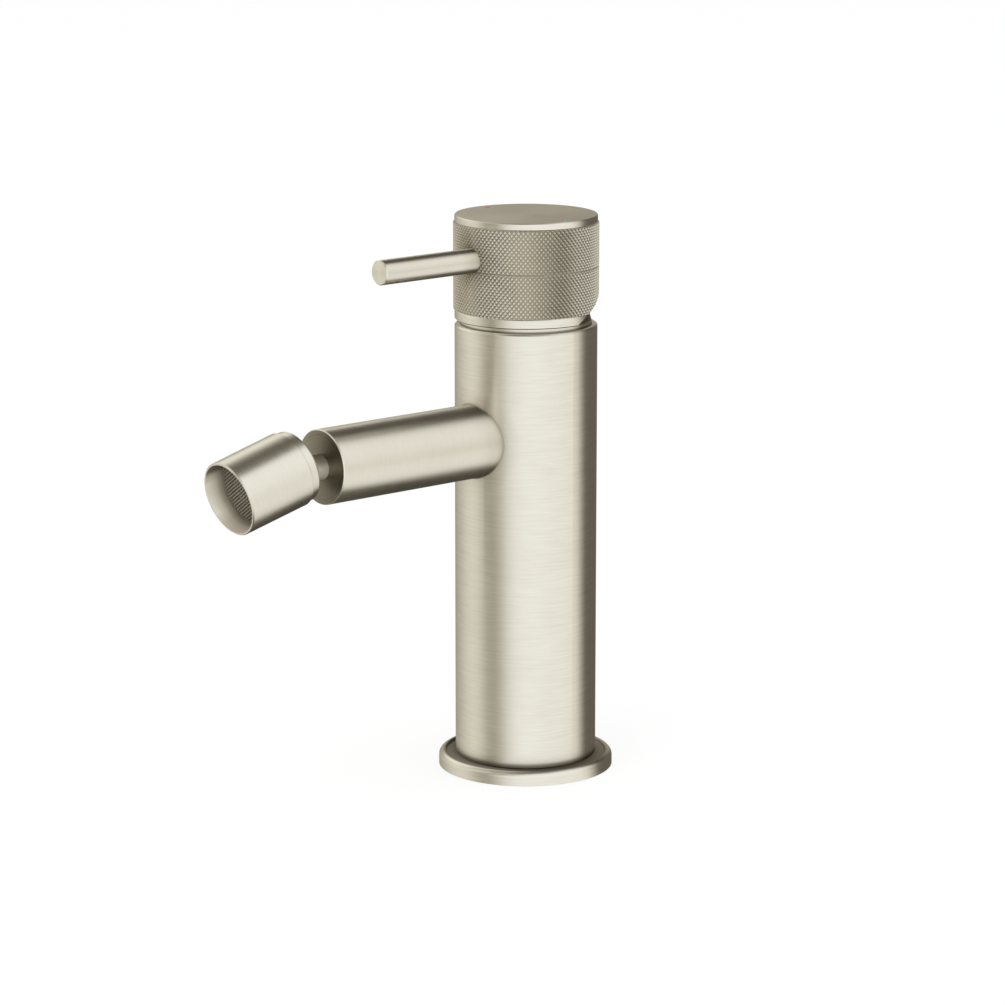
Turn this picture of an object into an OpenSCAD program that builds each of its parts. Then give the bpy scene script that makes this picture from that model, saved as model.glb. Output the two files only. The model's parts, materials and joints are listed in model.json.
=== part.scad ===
// Single-lever bidet mixer with a swivelling ball-joint nozzle.
// Millimetres. +Z is up and the spout points along -Y.
// The origin is the centre of the base flange, on the surface that the mixer stands on.

/* [Body] */
// Outer diameter of the body tube
body_d = 42; // [41:0.5:60]
// Wall of the body tube
body_wall = 2; // [1.8:0.1:2.3]
// Height of the body's top edge above the basin
body_top = 134; // [120:1:220]
// Chamfer on the body's top and bottom edges
body_chamfer = 0.4; // [0.1:0.1:0.8]
// Wall left round the dome cover at the body's top edge
body_lip = 1.5; // [1:0.1:1.7]

/* [Base] */
// How far the base flange stands out beyond the body
flange_overhang = 5; // [4:0.1:12]
// Height of the base flange at its lip
flange_h = 4.1; // [3.5:0.1:10]
// Width of the raised lip round the flange
flange_lip = 2.2; // [1.8:0.1:3.8]
// Depth of the recess that the body stands in
flange_step = 0.5; // [0.3:0.1:1.5]
// Rounding of the flange's top edge
flange_round = 1.6; // [0.3:0.1:1.8]
// Rounding of the lip's inner edge
lip_round = 0.5; // [0.2:0.05:0.8]
// Thickness of the gasket under the flange
gasket_h = 1.5; // [0.8:0.1:2]
// Width of the gasket under the flange
gasket_w = 5; // [3:0.1:6]
// Height of the insert in the body's foot
insert_h = 22; // [20:1:40]
// Diameter of the insert's neck, which centres the flange over the tap hole
insert_neck_d = 33; // [31:0.5:34]
// Tapping diameter of the M8 hole for the fixing stud
stud_bore_d = 6.8; // [5:0.1:8.5]
// Depth of the hole for the fixing stud
stud_depth = 16; // [10:1:18]
// Tapping diameter of the M10 fine thread for each hose
inlet_bore_d = 9; // [7:0.1:9.5]
// Depth of the thread for each hose
inlet_depth = 12; // [8:0.5:13]
// Distance of the hose inlets from the body's axis
inlet_r = 11; // [10.5:0.1:11.5]
// Angle of the hose inlets from the side towards the front
inlet_angle = 30; // [20:1:40]

/* [Waterways] */
// Outer diameter of the riser tubes
riser_d = 8; // [6:0.1:8.4]
// Wall of the riser tubes
riser_wall = 1; // [0.6:0.1:1.5]
// How deep each riser tube sits in its socket
riser_socket = 6; // [5:0.5:7]
// Distance from the spout's axis down to the valve block's underside
block_drop = 19.3; // [16:0.1:40]
// Diameter of the drilled ways in the valve block
way_d = 5.2; // [4:0.1:5.6]
// Cord diameter of the O-rings
cord_d = 1.4; // [1:0.1:1.8]

/* [Spout] */
// Outer diameter of the spout
spout_d = 21.7; // [18:0.1:26]
// Wall of the spout
spout_wall = 1.5; // [1:0.1:2.5]
// Distance from the body's axis to the spout's end face
spout_reach = 76.6; // [60:0.1:120]
// Distance from the body's top edge down to the spout's axis
spout_drop = 32.7; // [32:0.1:60]
// Chamfer on the spout's end
spout_chamfer = 0.3; // [0.1:0.1:0.6]
// Length of the bush in the spout's end
bush_l = 8; // [5:0.5:12]
// Length of the gland inside the spout
gland_l = 8; // [4:0.5:12]
// Diameter of the gland's spigot, which enters the valve block
spigot_d = 9.2; // [8.8:0.1:10]
// Bore of the gland
gland_bore_d = 6.4; // [5:0.1:7]
// How far the spigot reaches past the body's wall
spigot_l = 10; // [8:0.1:10.4]

/* [Cartridge] */
// Wall of the valve block round the cartridge
cup_wall = 1.5; // [1.4:0.05:1.9]
// Wall of the cartridge housing
cart_wall = 2.8; // [2:0.1:3]
// Thickness of the cartridge's base
cart_base_h = 4; // [3:0.1:6]
// Thickness of each ceramic disc
disc_h = 3; // [2:0.1:4]
// Room round the moving disc at the middle of its travel
disc_room = 3.8; // [3.2:0.1:4.6]
// Height of the carrier on the moving disc
carrier_h = 4.5; // [4:0.1:6]
// Thickness of the turret's flange
turret_flange_h = 1.8; // [1:0.1:3]
// How far the turret's flange stands out beyond its neck
turret_step = 1.8; // [1:0.1:2.5]
// Thickness of the cartridge housing's roof
cart_roof_h = 1.8; // [1.2:0.1:3]
// Height of the nut that holds the cartridge down
nut_h = 3.4; // [2.5:0.1:6]
// Width of the spindle's square
spindle_w = 8; // [7:0.1:9]
// Diameter of the spindle's pivot pin
pin_d = 4; // [2.5:0.1:5]
// Wall of the spindle under its pivot pin
spindle_wall = 2.2; // [1.5:0.1:3]
// Diameter of the spindle's driving tip
tip_d = 4.8; // [4.4:0.1:5.4]
// Diameter of the spindle's arm above the tip
arm_d = 3.4; // [2.4:0.1:3.5]
// Distance from the body's top edge down to the lever's pivot
pivot_drop = 3.8; // [3:0.1:4.4]
// Angle that the lever lifts through
lift_max = 25; // [15:1:25]
// Diameter of the inlet and outlet ports
port_d = 5.2; // [4:0.1:5.6]
// Distance of the inlet ports to each side of the axis
inlet_port_x = 6; // [5.6:0.1:6.6]
// Distance of the inlet ports in front of the axis
inlet_port_y = 3.6; // [3.2:0.1:4]
// Distance of the outlet port behind the axis
outlet_port_y = 6.5; // [5:0.1:7]
// Thickness of the port seals
port_seal_h = 1.2; // [0.8:0.1:2]
// Width of the port seals
port_seal_w = 1.5; // [1:0.1:1.6]
// Width of the mixing chamber in the moving disc, from front to back
chamber_w = 8.4; // [6:0.1:9]
// Distance between the centres of the mixing chamber's round ends
chamber_span = 7.2; // [4:0.1:8]
// Distance of the mixing chamber behind the axis with the valve shut
chamber_y = 5.2; // [4.6:0.1:5.6]
// Depth of the mixing chamber
chamber_h = 1.5; // [0.8:0.1:1.8]

/* [Handle] */
// Gap between the body and the handle
handle_gap = 1.6; // [1.2:0.1:3]
// How far the dome cover stands back from the body's surface
dome_inset = 1.15; // [1.1:0.05:1.6]
// Depth of the dome cover's seat in the body
dome_seat = 4; // [3.6:0.1:6]
// Wall of the dome cover at its widest
dome_wall = 4.45; // [3.5:0.05:5]
// How far the dome cover stands up above the body
dome_rise = 7; // [5:0.1:7.5]
// Height of the plain ring at the handle's foot
foot_h = 2.8; // [1.5:0.1:6]
// Height of the knurled band
knurl_h = 25.8; // [24:0.1:40]
// How far the knurl stands proud of the body's diameter
knurl_proud = 0.43; // [0.2:0.01:0.8]
// Wall of the knurled sleeves
sleeve_wall = 1.8; // [1.2:0.1:2.2]
// Width of the groove between the two knurled sleeves
sleeve_gap = 0.3; // [0.1:0.05:0.8]
// Depth of the groove between the two knurled sleeves
sleeve_groove = 0.6; // [0.4:0.05:1]
// Height of the plain band round the cap
cap_h = 2.1; // [1.5:0.1:6]
// Chamfer on the handle's edges
handle_chamfer = 0.25; // [0.1:0.05:0.4]
// Angle of the sloped cut under the back of the handle
back_cut = 27; // [27:0.5:40]
// Distance from the body's axis back to the start of the sloped cut
back_cut_y = 1.3; // [0.5:0.1:2]
// Diameter of the lever
lever_d = 7.2; // [6.4:0.1:9]
// Distance from the body's axis to the lever's end
lever_reach = 55; // [40:0.5:90]
// Height of the lever's axis above the groove between the sleeves
lever_rise = 3.2; // [2.8:0.1:4.3]
// Diameter of the lever's threaded tail and of the grub screw behind it
lever_tail_d = 6; // [5:0.1:6.2]
// Length of the lever's threaded tail
lever_tail_l = 7; // [5:0.1:9]
// How deep the lever sits in the handle's core
lever_seat = 1.1; // [0.6:0.1:2]
// Diameter of the boss that grips the spindle
boss_d = 15; // [13:0.1:16]
// Height of the boss's lower end above the lever's pivot
boss_rise = 12.8; // [12:0.1:15]
// Depth of the cap's spigot
cap_spigot_h = 2.2; // [1:0.1:2.6]
// Diameter of the hot and cold marks
mark_d = 1.8; // [1:0.1:3]
// Distance of the hot and cold marks in from the cap's edge
mark_inset = 3.6; // [3:0.1:11]
// Depth of the hot and cold marks
mark_h = 0.3; // [0.2:0.1:1]

/* [Nozzle] */
// Diameter of the stem that carries the ball
stem_d = 7.4; // [6:0.1:7.6]
// Bore of the stem
stem_bore_d = 4.4; // [3:0.1:5]
// Distance from the spout's end face to the ball's centre
stem_l = 14.8; // [14:0.1:20]
// Diameter of the ball
ball_d = 14.4; // [14:0.1:15]
// How much of the ball's front is cut flat
ball_flat = 1; // [0.5:0.1:2]
// Length of the liner round the ball
liner_l = 8.4; // [6:0.1:8.8]
// Wall of the liner round the ball
liner_wall = 1.3; // [0.8:0.1:1.4]
// Tilt of the nozzle below the spout's axis as drawn
nozzle_tilt = 14.8; // [0:0.1:20]
// Greatest tilt of the nozzle from the spout's axis
tilt_max = 22; // [20:0.5:22]
// Greatest turn of the nozzle to each side
pan_max = 18; // [10:0.5:18]
// Outer diameter of the nozzle at its mouth
nozzle_mouth_d = 21.8; // [21.4:0.1:24]
// Outer diameter of the nozzle at its shoulder
nozzle_d = 22.1; // [22:0.1:24]
// Length of the nozzle from its mouth to its shoulder
nozzle_l = 21.7; // [20:0.1:30]
// Distance from the ball's centre back to the nozzle's shoulder
shoulder_back = 3.6; // [3:0.1:4]
// Wall of the nozzle
nozzle_wall = 1.05; // [0.8:0.05:1.1]
// Width of the rim round the nozzle's mouth
rim_w = 0.65; // [0.4:0.05:0.9]
// Depth of the mouth in front of the screen
mouth_depth = 5.8; // [3:0.1:7]
// Lip that holds the screen in the nozzle
screen_lip = 0.25; // [0.15:0.05:0.5]
// Thickness of the screen
screen_h = 0.7; // [0.4:0.1:1]
// Pitch of the screen's strands
screen_pitch = 1; // [1:0.05:2]
// Width of the screen's strands
strand_w = 0.35; // [0.2:0.05:0.5]
// Outer diameter of the collar behind the nozzle
collar_d = 21; // [20.4:0.1:21.8]
// Length of the collar behind the nozzle
collar_l = 3; // [2.5:0.1:4]
// Rounding of the collar's rear edge
collar_round = 0.8; // [0.2:0.1:1]
// Length of the ring that holds the liner from the front
retainer_l = 4; // [3:0.1:4.4]
// Thickness of the aerator's gasket
aerator_gasket_h = 1.4; // [0.8:0.1:1.8]
// Wall of the aerator's cage
cage_wall = 1.35; // [0.8:0.05:1.6]
// Thickness of the aerator's perforated plate
plate_h = 1.2; // [0.6:0.1:1.4]
// Distance from the perforated plate to the screen
plate_gap = 2; // [1:0.1:2.2]
// Diameter of the holes in the perforated plate
plate_hole_d = 1.4; // [0.8:0.1:1.8]
// Distance between the rings of holes in the perforated plate
plate_ring = 2.2; // [2:0.1:2.5]

/* [Hidden] */
$fn = 96;

// Clearances
fit = 0.05;
disc_fit = 0.05;
turn_gap = 0.3;
seal_gap = 0.02;
turret_gap = 0.8;
nut_gap = 1.2;
groove_play = 0.2;
ball_fit = 0.1;
swing_gap = 0.3;
cut = 1;
far = 200;

// Base
body_r = body_d / 2;
body_bore_r = body_r - body_wall;
flange_r = body_r + flange_overhang;
floor_z = flange_h - flange_step;
neck_r = insert_neck_d / 2;
gasket_r_out = body_r + gasket_w / 2;
inlet_pos = [for (side = [-1, 1]) [side * inlet_r * cos(inlet_angle), -inlet_r * sin(inlet_angle), 0]];

// Cartridge heights, from the dome cover's seat down
pivot_z = body_top - pivot_drop;
seat_z = body_top - dome_seat;
roof_top_z = seat_z - nut_h;
roof_z = roof_top_z - cart_roof_h;
turret_z = roof_z - turn_gap / 2 - turret_flange_h;
carrier_z = turret_z - turn_gap - carrier_h;
moving_disc_z = carrier_z - disc_h;
fixed_disc_z = moving_disc_z - disc_fit - disc_h;
deck_z = fixed_disc_z - cart_base_h;

// Cartridge radii and ports
cup_bore_r = body_bore_r - fit - cup_wall;
cart_r = cup_bore_r - fit;
cart_bore_r = cart_r - cart_wall;
turret_flange_r = cart_bore_r - turret_gap;
turret_r = turret_flange_r - turret_step;
nut_bore_r = turret_r + nut_gap;
outlet_port = [0, outlet_port_y];
ports = [[-inlet_port_x, -inlet_port_y], [inlet_port_x, -inlet_port_y], outlet_port];
port_r = port_d / 2;

// Spindle and moving disc
tip_r = tip_d / 2;
tip_z = carrier_z + carrier_h - tip_r / 2;
arm_l = pivot_z - tip_z;
disc_travel = arm_l * sin(lift_max);
disc_y = disc_travel / 2;
moving_disc_r = cart_bore_r - disc_room;
pocket_w = tip_d + 2 * turn_gap;
spindle_foot = pin_d / 2 + spindle_wall;
pin_end = turret_r - 1;

// Waterways
riser_r = riser_d / 2;
riser_bore_r = riser_r - riser_wall;
spout_z = body_top - spout_drop;
block_z = spout_z - block_drop;
groove_w = cord_d + groove_play;
groove_inset = 2;

// Spout
spout_r = spout_d / 2;
spout_bore_r = spout_r - spout_wall;
spigot_r = spigot_d / 2;
gland_s = body_r + turn_gap;
spigot_end_s = body_bore_r - spigot_l;
ball_s = spout_reach + stem_l;
bush_s = spout_reach - bush_l;

// Dome cover and handle
dome_r = body_r - dome_inset;
dome_seat_r = body_r - body_lip;
dome_bore_r = dome_r - dome_wall;
dome_top_z = body_top + dome_rise;
cavity_r = dome_r + turn_gap + fit;
foot_z = body_top + handle_gap;
knurl_z = foot_z + foot_h;
cap_z = knurl_z + knurl_h;
handle_top = cap_z + cap_h;
mark_r = body_r - mark_inset;
knurl_r = body_r + knurl_proud;
sleeve_bore_r = knurl_r - sleeve_wall;
core_r = sleeve_bore_r - fit;
groove_z = knurl_z + knurl_h / 2;
core_top = cap_z - cap_spigot_h;
lever_z = groove_z + lever_rise;
lever_r = lever_d / 2;
lever_seat_s = core_r - lever_seat;
tail_r = lever_tail_d / 2;
spindle_over = 1;
spindle_top = lever_z + tail_r + spindle_over;
boss_z = pivot_z + boss_rise;

// Nozzle, along its own axis from the ball's centre to the mouth
ball_r = ball_d / 2;
stem_r = stem_d / 2;
liner_bore_r = ball_r + ball_fit;
liner_r = liner_bore_r + liner_wall;
ball_face = ball_r - ball_flat;
seat_r = liner_r + ball_fit;
swing = acos(cos(tilt_max) * cos(pan_max));
shoulder_u = -shoulder_back;
collar_u = shoulder_u - collar_l;
mouth_u = shoulder_u + nozzle_l;
screen_front_u = mouth_u - mouth_depth;
screen_u = screen_front_u - screen_h;
retainer_u = retainer_l;
cage_u = retainer_u + aerator_gasket_h;
plate_u = screen_u - plate_gap - plate_h;
nozzle_bore_r = nozzle_d / 2 - nozzle_wall;
inner_r = nozzle_bore_r - fit;
nozzle_chamfer = 0.25;

// Colours
nickel = [0.78, 0.75, 0.68];
brass = [0.80, 0.64, 0.30];
rubber = [0.10, 0.10, 0.11];
ceramic = [0.93, 0.92, 0.88];
plastic = [0.86, 0.87, 0.88];
steel = [0.60, 0.60, 0.58];
ptfe = [0.95, 0.95, 0.93];

// Frames

// Along the spout: local Z runs from the body's axis to the front, local Y is up
module spout_frame() {
    translate([0, 0, spout_z])
        rotate([90, 0, 0])
            children();
}

// Along the lever, in the same way
module lever_frame() {
    translate([0, 0, lever_z])
        rotate([90, 0, 0])
            children();
}

// Along the nozzle: local Z runs from the ball's centre to the mouth
module nozzle_frame() {
    spout_frame()
        translate([0, 0, ball_s])
            rotate([nozzle_tilt, 0, 0])
                children();
}

// Shared shapes

// A round bar from one height to another, with a chamfer at each end
module bar(r, z0, z1, low_chamfer = 0, high_chamfer = 0) {
    rotate_extrude()
        polygon([
            [0, z0], [r - low_chamfer, z0], [r, z0 + low_chamfer],
            [r, z1 - high_chamfer], [r - high_chamfer, z1], [0, z1]
        ]);
}

// A plain round solid from one height to another, for bars and for bores
module drum(r, z0, z1) {
    translate([0, 0, z0])
        cylinder(r = r, h = z1 - z0);
}

// A drilled way from one point to another
module way(from, to, r) {
    run = to - from;
    reach = norm(run);
    translate(from)
        rotate([-asin(run.y / reach), atan2(run.x, run.z), 0])
            cylinder(r = r, h = reach);
}

// An O-ring that lies round a shaft
module o_ring(shaft_r) {
    rotate_extrude()
        translate([shaft_r + cord_d / 2 + seal_gap, 0])
            circle(d = cord_d);
}

// The groove in a bore that holds that O-ring
module o_ring_groove(shaft_r) {
    cylinder(r = shaft_r + cord_d + 2 * seal_gap, h = groove_w, center = true);
}

// Body and base

module body_shell() {
    color(nickel)
        difference() {
            bar(body_r, floor_z, body_top, body_chamfer, body_chamfer);
            drum(body_bore_r, floor_z - cut, body_top + cut);
            drum(dome_seat_r, seat_z, body_top + cut);
            spout_frame()
                drum(spigot_r + turn_gap, 0, body_d);
        }
}

module flange_profile() {
    bore_r = neck_r + fit;
    recess_r = flange_r - flange_lip;
    inner_round = min(lip_round, flange_step);
    difference() {
        union() {
            translate([bore_r, 0])
                square([flange_r - flange_round - bore_r, flange_h]);
            translate([bore_r, 0])
                square([flange_r - bore_r, flange_h - flange_round]);
            translate([flange_r - flange_round, flange_h - flange_round])
                circle(r = flange_round);
        }
        translate([0, floor_z])
            square([recess_r, flange_h]);
        difference() {
            translate([recess_r - cut, flange_h - inner_round])
                square([inner_round + cut, flange_h]);
            translate([recess_r + inner_round, flange_h - inner_round])
                circle(r = inner_round);
        }
        translate([gasket_r_out - gasket_w - fit, -cut])
            square([gasket_w + 2 * fit, gasket_h + cut]);
    }
}

module base_flange() {
    color(nickel)
        rotate_extrude()
            flange_profile();
}

module base_gasket() {
    color(rubber)
        difference() {
            drum(gasket_r_out, 0, gasket_h);
            drum(gasket_r_out - gasket_w, -cut, gasket_h + cut);
        }
}

module base_insert() {
    color(brass)
        difference() {
            union() {
                drum(neck_r, 0, floor_z + cut);
                drum(body_bore_r - fit, floor_z, insert_h);
            }
            drum(stud_bore_d / 2, -cut, stud_depth);
            for (p = inlet_pos)
                translate(p) {
                    drum(inlet_bore_d / 2, -cut, inlet_depth);
                    drum(riser_bore_r, 0, insert_h);
                    drum(riser_r + fit, insert_h - riser_socket, insert_h + cut);
                    translate([0, 0, insert_h - groove_inset])
                        o_ring_groove(riser_r);
                }
        }
}

// Waterways

module riser(p) {
    low_z = insert_h - riser_socket;
    high_z = block_z + riser_socket;
    color(brass)
        translate(p)
            difference() {
                drum(riser_r, low_z, high_z);
                drum(riser_bore_r, low_z - cut, high_z + cut);
            }
}

module hot_riser() {
    riser(inlet_pos[0]);
}

module cold_riser() {
    riser(inlet_pos[1]);
}

module riser_o_rings() {
    color(rubber)
        for (p = inlet_pos, z = [insert_h - groove_inset, block_z + groove_inset])
            translate(p + [0, 0, z])
                o_ring(riser_r);
}

module valve_block() {
    color(brass)
        difference() {
            drum(body_bore_r - fit, block_z, seat_z);
            drum(cup_bore_r, deck_z, seat_z + cut);
            for (i = [0, 1]) {
                translate(inlet_pos[i]) {
                    drum(riser_r + fit, block_z - cut, block_z + riser_socket);
                    translate([0, 0, block_z + groove_inset])
                        o_ring_groove(riser_r);
                }
                way(
                    inlet_pos[i] + [0, 0, block_z + riser_socket - cut],
                    [ports[i].x, ports[i].y, deck_z + cut],
                    way_d / 2
                );
            }
            translate(outlet_port)
                drum(way_d / 2, spout_z, deck_z + cut);
            spout_frame() {
                drum(gland_bore_d / 2, -outlet_port.y - way_d / 2 - cut, body_r);
                drum(spigot_r + fit, spigot_end_s, body_r);
                translate([0, 0, spigot_end_s + 2 * groove_inset])
                    o_ring_groove(spigot_r);
            }
        }
}

// Spout

module spout_tube() {
    color(nickel)
        difference() {
            spout_frame()
                difference() {
                    bar(spout_r, 0, spout_reach, 0, spout_chamfer);
                    drum(spout_bore_r, -cut, spout_reach + cut);
                }
            drum(body_r, 0, body_top);
        }
}

module spout_gland() {
    color(brass)
        spout_frame()
            difference() {
                union() {
                    drum(spout_bore_r - fit, gland_s, gland_s + gland_l);
                    drum(spigot_r, spigot_end_s, gland_s + cut);
                }
                drum(gland_bore_d / 2, 0, spout_reach);
            }
}

module gland_o_ring() {
    color(rubber)
        spout_frame()
            translate([0, 0, spigot_end_s + 2 * groove_inset])
                o_ring(spigot_r);
}

module spout_end_bush() {
    color(nickel)
        spout_frame()
            difference() {
                drum(spout_bore_r - fit, bush_s, spout_reach);
                drum(stem_r + fit, bush_s - cut, spout_reach + cut);
                translate([0, 0, bush_s + groove_inset])
                    o_ring_groove(stem_r);
            }
}

module ball_stem() {
    color(nickel)
        spout_frame()
            difference() {
                union() {
                    drum(stem_r, bush_s, ball_s);
                    translate([0, 0, ball_s])
                        sphere(r = ball_r);
                }
                drum(stem_bore_d / 2, bush_s - cut, ball_s + ball_d);
                drum(ball_d, ball_s + ball_face, ball_s + ball_d);
            }
}

module stem_o_ring() {
    color(rubber)
        spout_frame()
            translate([0, 0, bush_s + groove_inset])
                o_ring(stem_r);
}

// Cartridge

module cartridge_base() {
    color(plastic)
        difference() {
            drum(cart_r, deck_z, fixed_disc_z);
            for (p = ports)
                translate(p) {
                    drum(port_r, deck_z - cut, fixed_disc_z + cut);
                    drum(port_r + port_seal_w, deck_z - cut, deck_z + port_seal_h);
                }
        }
}

module port_seals() {
    color(rubber)
        for (p = ports)
            translate(p)
                difference() {
                    drum(port_r + port_seal_w - fit, deck_z, deck_z + port_seal_h);
                    drum(port_r, deck_z - cut, fixed_disc_z);
                }
}

module fixed_disc() {
    color(ceramic)
        difference() {
            drum(cart_bore_r - fit, fixed_disc_z, fixed_disc_z + disc_h);
            for (p = ports)
                translate(p)
                    drum(port_r, fixed_disc_z - cut, moving_disc_z + cut);
        }
}

module cartridge_housing() {
    color(plastic)
        difference() {
            drum(cart_r, fixed_disc_z, roof_top_z);
            drum(cart_bore_r, fixed_disc_z - cut, roof_z);
            drum(turret_r + fit, roof_z - cut, roof_top_z + cut);
        }
}

module cartridge_nut() {
    color(brass)
        difference() {
            drum(cup_bore_r - fit, roof_top_z, seat_z);
            drum(nut_bore_r, roof_top_z - cut, seat_z + cut);
        }
}

module dome_cover() {
    color(nickel)
        difference() {
            intersection() {
                drum(dome_seat_r - fit, seat_z, dome_top_z);
                union() {
                    translate([0, 0, pivot_z])
                        sphere(r = dome_r);
                    drum(dome_seat_r, seat_z, pivot_z);
                }
            }
            drum(dome_bore_r, seat_z - cut, dome_top_z + cut);
        }
}

// The room that the spindle sweeps as the lever lifts
module spindle_sweep() {
    w = spindle_w + 2 * turn_gap;
    sweep_h = pivot_z - turret_z + spindle_w;
    translate([0, 0, pivot_z])
        for (a = [0, lift_max / 2, lift_max])
            rotate([-a, 0, 0])
                cube([w, w, 2 * sweep_h], center = true);
}

module turret() {
    color(plastic)
        difference() {
            union() {
                drum(turret_flange_r, turret_z, turret_z + turret_flange_h);
                drum(turret_r, turret_z, body_top);
            }
            spindle_sweep();
            translate([-turret_r, 0, pivot_z])
                rotate([0, 90, 0])
                    drum(pin_d / 2 + seal_gap, -cut, 2 * turret_r + cut);
        }
}

module pivot_pin() {
    color(steel)
        translate([0, 0, pivot_z])
            rotate([0, 90, 0])
                drum(pin_d / 2, -pin_end, pin_end);
}

module moving_disc() {
    color(ceramic)
        difference() {
            translate([0, disc_y, 0])
                drum(moving_disc_r, moving_disc_z, moving_disc_z + disc_h);
            translate([0, chamber_y, 0]) {
                for (side = [-1, 1])
                    translate([side * chamber_span / 2, 0, 0])
                        drum(chamber_w / 2, moving_disc_z - cut, moving_disc_z + chamber_h);
                translate([-chamber_span / 2, -chamber_w / 2, moving_disc_z - cut])
                    cube([chamber_span, chamber_w, chamber_h + cut]);
            }
        }
}

module disc_carrier() {
    floor_h = tip_z - tip_r - turn_gap - carrier_z;
    color(plastic)
        difference() {
            translate([0, disc_y, 0])
                drum(moving_disc_r, carrier_z, carrier_z + carrier_h);
            translate([-pocket_w / 2, -pocket_w / 2, carrier_z + floor_h])
                cube([pocket_w, pocket_w, carrier_h]);
        }
}

module spindle() {
    color(steel)
        difference() {
            union() {
                translate([-spindle_w / 2, -spindle_w / 2, pivot_z - spindle_foot])
                    cube([spindle_w, spindle_w, spindle_top - pivot_z + spindle_foot]);
                drum(arm_d / 2, tip_z, pivot_z);
                translate([0, 0, tip_z])
                    sphere(r = tip_r);
            }
            translate([0, 0, pivot_z])
                rotate([0, 90, 0])
                    drum(pin_d / 2 + fit, -spindle_w, spindle_w);
        }
}

// Handle

// Everything under the sloped cut at the back of the handle
module below_back_cut() {
    translate([0, back_cut_y, foot_z])
        rotate([back_cut, 0, 0])
            translate([-far / 2, 0, -far])
                cube(far);
}

module handle_core() {
    color(nickel)
        difference() {
            union() {
                difference() {
                    union() {
                        bar(body_r, foot_z, knurl_z, handle_chamfer, handle_chamfer);
                        drum(core_r, foot_z + handle_chamfer, core_top);
                    }
                    translate([0, 0, pivot_z])
                        sphere(r = cavity_r);
                }
                drum(boss_d / 2, boss_z, core_top);
            }
            socket_w = spindle_w + 2 * fit;
            translate([-socket_w / 2, -socket_w / 2, boss_z - cut])
                cube([socket_w, socket_w, spindle_top + fit - boss_z + cut]);
            lever_frame() {
                drum(tail_r + fit, 0, core_r + cut);
                drum(lever_r + fit, lever_seat_s, core_r + cut);
            }
            below_back_cut();
        }
}

// A sleeve from z0 to z1, with a narrower neck up to the sleeve or cap that rests on it
module knurled_sleeve(z0, z1, rest_z) {
    color(nickel)
        difference() {
            union() {
                bar(knurl_r, z0, z1, handle_chamfer, handle_chamfer);
                drum(knurl_r - sleeve_groove, z0 + handle_chamfer, rest_z);
            }
            drum(sleeve_bore_r, z0 - cut, rest_z + cut);
            lever_frame()
                drum(lever_r + fit, 0, knurl_r + cut);
            below_back_cut();
        }
}

module lower_knurled_sleeve() {
    knurled_sleeve(knurl_z, groove_z - sleeve_gap / 2, groove_z + sleeve_gap / 2);
}

module upper_knurled_sleeve() {
    knurled_sleeve(groove_z + sleeve_gap / 2, cap_z, cap_z);
}

module handle_cap() {
    color(nickel)
        difference() {
            union() {
                drum(core_r, core_top, cap_z + cut);
                bar(body_r, cap_z, handle_top, handle_chamfer, handle_chamfer);
            }
            for (side = [-1, 1])
                translate([side * mark_r, 0, 0])
                    drum(mark_d / 2 + seal_gap, handle_top - mark_h, handle_top + cut);
        }
}

module mark(side) {
    translate([side * mark_r, 0, 0])
        drum(mark_d / 2, handle_top - mark_h, handle_top);
}

module hot_mark() {
    color("crimson")
        mark(-1);
}

module cold_mark() {
    color("dodgerblue")
        mark(1);
}

module lever_rod() {
    color(nickel)
        lever_frame() {
            bar(lever_r, lever_seat_s, lever_reach, 0, handle_chamfer);
            drum(tail_r, lever_seat_s - lever_tail_l, lever_seat_s + cut);
        }
}

module grub_screw() {
    color(steel)
        lever_frame()
            difference() {
                drum(tail_r, spindle_w / 2, lever_seat_s - lever_tail_l - turn_gap);
                translate([0, 0, lever_seat_s - lever_tail_l - tail_r])
                    cylinder(r = tail_r / 2, h = lever_tail_d, $fn = 6);
            }
}

// Ball joint and nozzle

module ball_liner() {
    color(ptfe)
        spout_frame()
            translate([0, 0, ball_s])
                difference() {
                    sphere(r = liner_r);
                    sphere(r = liner_bore_r);
                    drum(ball_d, liner_l / 2, ball_d);
                    drum(ball_d, -ball_d, -liner_l / 2);
                }
}

module nozzle_housing() {
    lip_r = nozzle_bore_r - screen_lip;
    mouth_r = nozzle_mouth_d / 2;
    color(nickel)
        nozzle_frame()
            rotate_extrude()
                polygon([
                    [nozzle_bore_r, shoulder_u], [nozzle_d / 2 - nozzle_chamfer, shoulder_u],
                    [nozzle_d / 2, shoulder_u + nozzle_chamfer], [mouth_r, mouth_u - nozzle_chamfer],
                    [mouth_r - nozzle_chamfer, mouth_u], [mouth_r - rim_w, mouth_u],
                    [lip_r, screen_front_u], [nozzle_bore_r, screen_front_u]
                ]);
}

// Everything that the stem sweeps behind the ball, inside the collar
module stem_sweep() {
    start_r = stem_r / cos(swing) + swing_gap;
    reach = ball_d;
    mirror([0, 0, 1])
        cylinder(r1 = start_r, r2 = start_r + reach * tan(swing), h = reach);
}

module collar_profile() {
    r = collar_d / 2;
    union() {
        translate([0, collar_u])
            square([r - collar_round, collar_l]);
        translate([0, collar_u + collar_round])
            square([r, collar_l - collar_round]);
        translate([r - collar_round, collar_u + collar_round])
            circle(r = collar_round);
        translate([0, shoulder_u - fit])
            square([inner_r, shoulder_back + fit]);
    }
}

module nozzle_collar() {
    color(nickel)
        nozzle_frame()
            difference() {
                rotate_extrude()
                    collar_profile();
                sphere(r = seat_r);
                stem_sweep();
            }
}

module ball_retainer() {
    color(brass)
        nozzle_frame()
            difference() {
                drum(inner_r, 0, retainer_u);
                sphere(r = seat_r);
            }
}

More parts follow.
